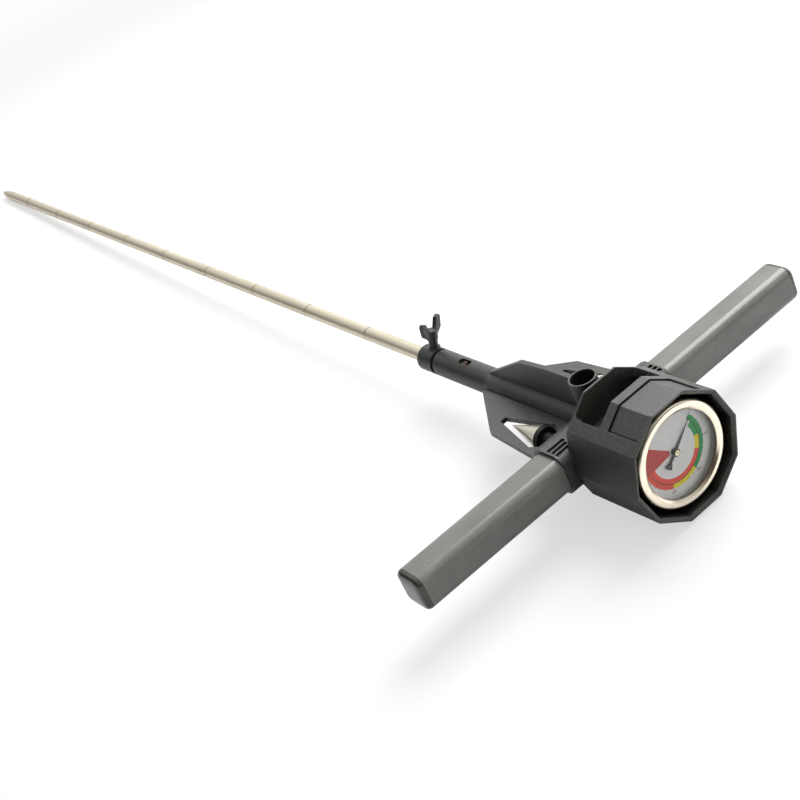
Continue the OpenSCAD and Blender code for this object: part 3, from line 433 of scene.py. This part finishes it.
numerals = {"words": ["0", "100", "200", "300", "400", "500"], "start": 52, "step": 50,
            "sizeMm": 1.9, "radius": 22.4, "height": 0.03, "halfThickMm": 0.02}
faceTurn = Matrix(((0, 0, 1), (1, 0, 0), (0, 1, 0))).to_4x4()
for k, word in enumerate(numerals["words"]):
    letters = bpy.data.curves.new("numeral" + word, "FONT")
    letters.body = word
    letters.size = numerals["sizeMm"] * mm
    letters.extrude = numerals["halfThickMm"] * mm
    letters.align_x = "CENTER"
    letters.align_y = "CENTER"
    holder = bpy.data.objects.new("numeralShape", letters)
    mesh = bpy.data.meshes.new_from_object(holder)
    bpy.data.objects.remove(holder)
    bpy.data.curves.remove(letters)
    angle = numerals["start"] + numerals["step"] * k
    spot = dialPoint(numerals["radius"], angle, numerals["height"])
    mesh.transform(Matrix.Translation(spot) @ faceTurn)
    mesh.name = "numeral" + word
    addPiece("numeral" + word, mesh, made["darkInkAndPaintedShade"], "chassis")
print("stage: dial printed")


# Rays that show the background itself: those of the camera and those that pass the glass
def addBackgroundShare(tree, ray):
    return addNode(tree, "Math", {"operation": "MAXIMUM"},
                   {0: ray.outputs["Is Camera Ray"], 1: ray.outputs["Is Transmission Ray"]})


# Floor under the cup's rear edge and the rod's lower side, so that the tool lies on it; sizes in metres
floorPlan = {"halfSize": 6.0, "gap": 0.0002, "bounced": 0.26, "mirrored": 0.95, "seen": 0.98,
             "clearFrom": 0.9, "clearTo": 1.7, "nearLift": 0.6}
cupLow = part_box("gauge_cup")[0]
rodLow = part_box("probe_rod")[0]
rise = math.atan2(rodLow.z - cupLow.z, cupLow.x - rodLow.x)
half = floorPlan["halfSize"]
corners = [(-half, -half, 0), (half, -half, 0), (half, half, 0), (-half, half, 0)]
floorMesh = bpy.data.meshes.new("studioFloor")
floorMesh.from_pydata(corners, [], [(0, 1, 2, 3)])
floor = bpy.data.objects.new("studioFloor", floorMesh)
bpy.context.scene.collection.objects.link(floor)
floorSpot = Matrix.Translation((cupLow.x, 0, cupLow.z - floorPlan["gap"]))
floor.matrix_world = floorSpot @ Matrix.Rotation(rise, 4, "Y")

# Pale matt floor: the shadow shows near the tool, and the ground clears to plain white farther out
floorLook = bpy.data.materials.new("paleStudioFloor")
floorLook.use_nodes = True
tree = floorLook.node_tree
tree.nodes.clear()
ray = addNode(tree, "LightPath", {})
direct = addBackgroundShare(tree, ray)
bounce = addNode(tree, "MapRange", {"To Min": floorPlan["bounced"], "To Max": floorPlan["mirrored"]},
                 {"Value": ray.outputs["Is Glossy Ray"]})
pale = addNode(tree, "Mix", {"data_type": "FLOAT", "B": floorPlan["seen"]},
               {"Factor": direct.outputs["Value"], "A": bounce.outputs["Result"]})
matte = addNode(tree, "BsdfDiffuse", {}, {"Color": pale.outputs["Result"]})
lift = addNode(tree, "Emission", {"Strength": 1.0})
ground = addNode(tree, "TexCoord", {})
away = addNode(tree, "VectorMath", {"operation": "LENGTH"}, {0: ground.outputs["Object"]})
clear = addNode(tree, "MapRange",
                {"interpolation_type": "SMOOTHSTEP", "From Min": floorPlan["clearFrom"],
                 "From Max": floorPlan["clearTo"], "To Min": floorPlan["nearLift"]},
                {"Value": away.outputs["Value"]})
share = addNode(tree, "Math", {"operation": "MULTIPLY"},
                {0: direct.outputs["Value"], 1: clear.outputs["Result"]})
paled = addNode(tree, "MixShader", {},
                {0: share.outputs["Value"], 1: matte.outputs["BSDF"], 2: lift.outputs["Emission"]})
addNode(tree, "OutputMaterial", {}, {"Surface": paled.outputs["Shader"]})
floorMesh.materials.append(floorLook)

# Studio light: a bright ceiling behind the tool that fades toward its front, while the camera sees white
sky = {"toward": (-0.3, 0.5, 0.8), "fadeFrom": -0.15, "fadeTo": 0.9, "dim": 0.04, "bright": 1.2,
       "falling": 0.55, "mirrored": 1.0, "seen": 1.0}
world = bpy.data.worlds.new("studioWorld")
bpy.context.scene.world = world
world.use_nodes = True
tree = world.node_tree
tree.nodes.clear()
around = addNode(tree, "TexCoord", {})
toward = addNode(tree, "VectorMath", {"operation": "DOT_PRODUCT", 1: Vector(sky["toward"]).normalized()},
                 {0: around.outputs["Generated"]})
fade = addNode(tree, "MapRange",
               {"interpolation_type": "SMOOTHSTEP", "From Min": sky["fadeFrom"], "From Max": sky["fadeTo"],
                "To Min": sky["dim"], "To Max": sky["bright"]},
               {"Value": toward.outputs["Value"]})
ray = addNode(tree, "LightPath", {})
direct = addBackgroundShare(tree, ray)
mirrored = addNode(tree, "MapRange", {"To Min": sky["falling"], "To Max": sky["mirrored"]},
                   {"Value": ray.outputs["Is Glossy Ray"]})
falling = addNode(tree, "Math", {"operation": "MULTIPLY"},
                  {0: fade.outputs["Result"], 1: mirrored.outputs["Result"]})
seen = addNode(tree, "Mix", {"data_type": "FLOAT", "B": sky["seen"]},
               {"Factor": direct.outputs["Value"], "A": falling.outputs["Value"]})
glow = addNode(tree, "Background", {"Color": (1, 1, 1, 1)}, {"Strength": seen.outputs["Result"]})
addNode(tree, "OutputWorld", {}, {"Surface": glow.outputs["Background"]})

# Square lamps: places and sizes in metres, spread in degrees
lamps = {
    "ceilingSoftbox": {"at": (-0.22, 0.62, 0.8), "to": (-0.06, 0.05, 0.03), "size": 0.75,
                       "watts": 13, "spread": 180, "mirrored": True},
    "rodSoftbox": {"at": (-0.95, 0.4, 0.5), "to": (-0.85, 0.0, 0.03), "size": 0.5,
                   "watts": 0.9, "spread": 80, "mirrored": True},
    "frontFill": {"at": (1.35, -0.05, 0.34), "to": (0.0, 0.0, 0.03), "size": 0.9,
                  "watts": 6.6, "spread": 180, "mirrored": False},
}
for name, plan in lamps.items():
    light = bpy.data.lights.new(name, "AREA")
    light.shape = "SQUARE"
    light.size = plan["size"]
    light.energy = plan["watts"]
    light.spread = math.radians(plan["spread"])
    lamp = bpy.data.objects.new(name, light)
    bpy.context.scene.collection.objects.link(lamp)
    lamp.visible_glossy = plan["mirrored"]
    lamp.location = plan["at"]
    lamp.rotation_euler = (Vector(plan["to"]) - Vector(plan["at"])).to_track_quat("-Z", "Y").to_euler()

# Camera at the photograph's viewing angle: its place in metres and its three axes
view = {"at": (0.54195, -0.3450, 0.48984), "right": (0.55391, 0.74042, -0.38073),
        "up": (-0.24258, 0.58098, 0.77693), "back": (0.79645, -0.33799, 0.50142),
        "lensMm": 68.52, "sensorMm": 36.0}
camera = bpy.data.objects.new("photoCamera", bpy.data.cameras.new("photoCamera"))
bpy.context.scene.collection.objects.link(camera)
camera.data.lens = view["lensMm"]
camera.data.sensor_width = view["sensorMm"]
turn = Matrix((view["right"], view["up"], view["back"])).transposed().to_4x4()
camera.matrix_world = Matrix.Translation(view["at"]) @ turn
bpy.context.scene.camera = camera
bpy.context.scene.view_settings.view_transform = "Standard"
print("stage: studio set")
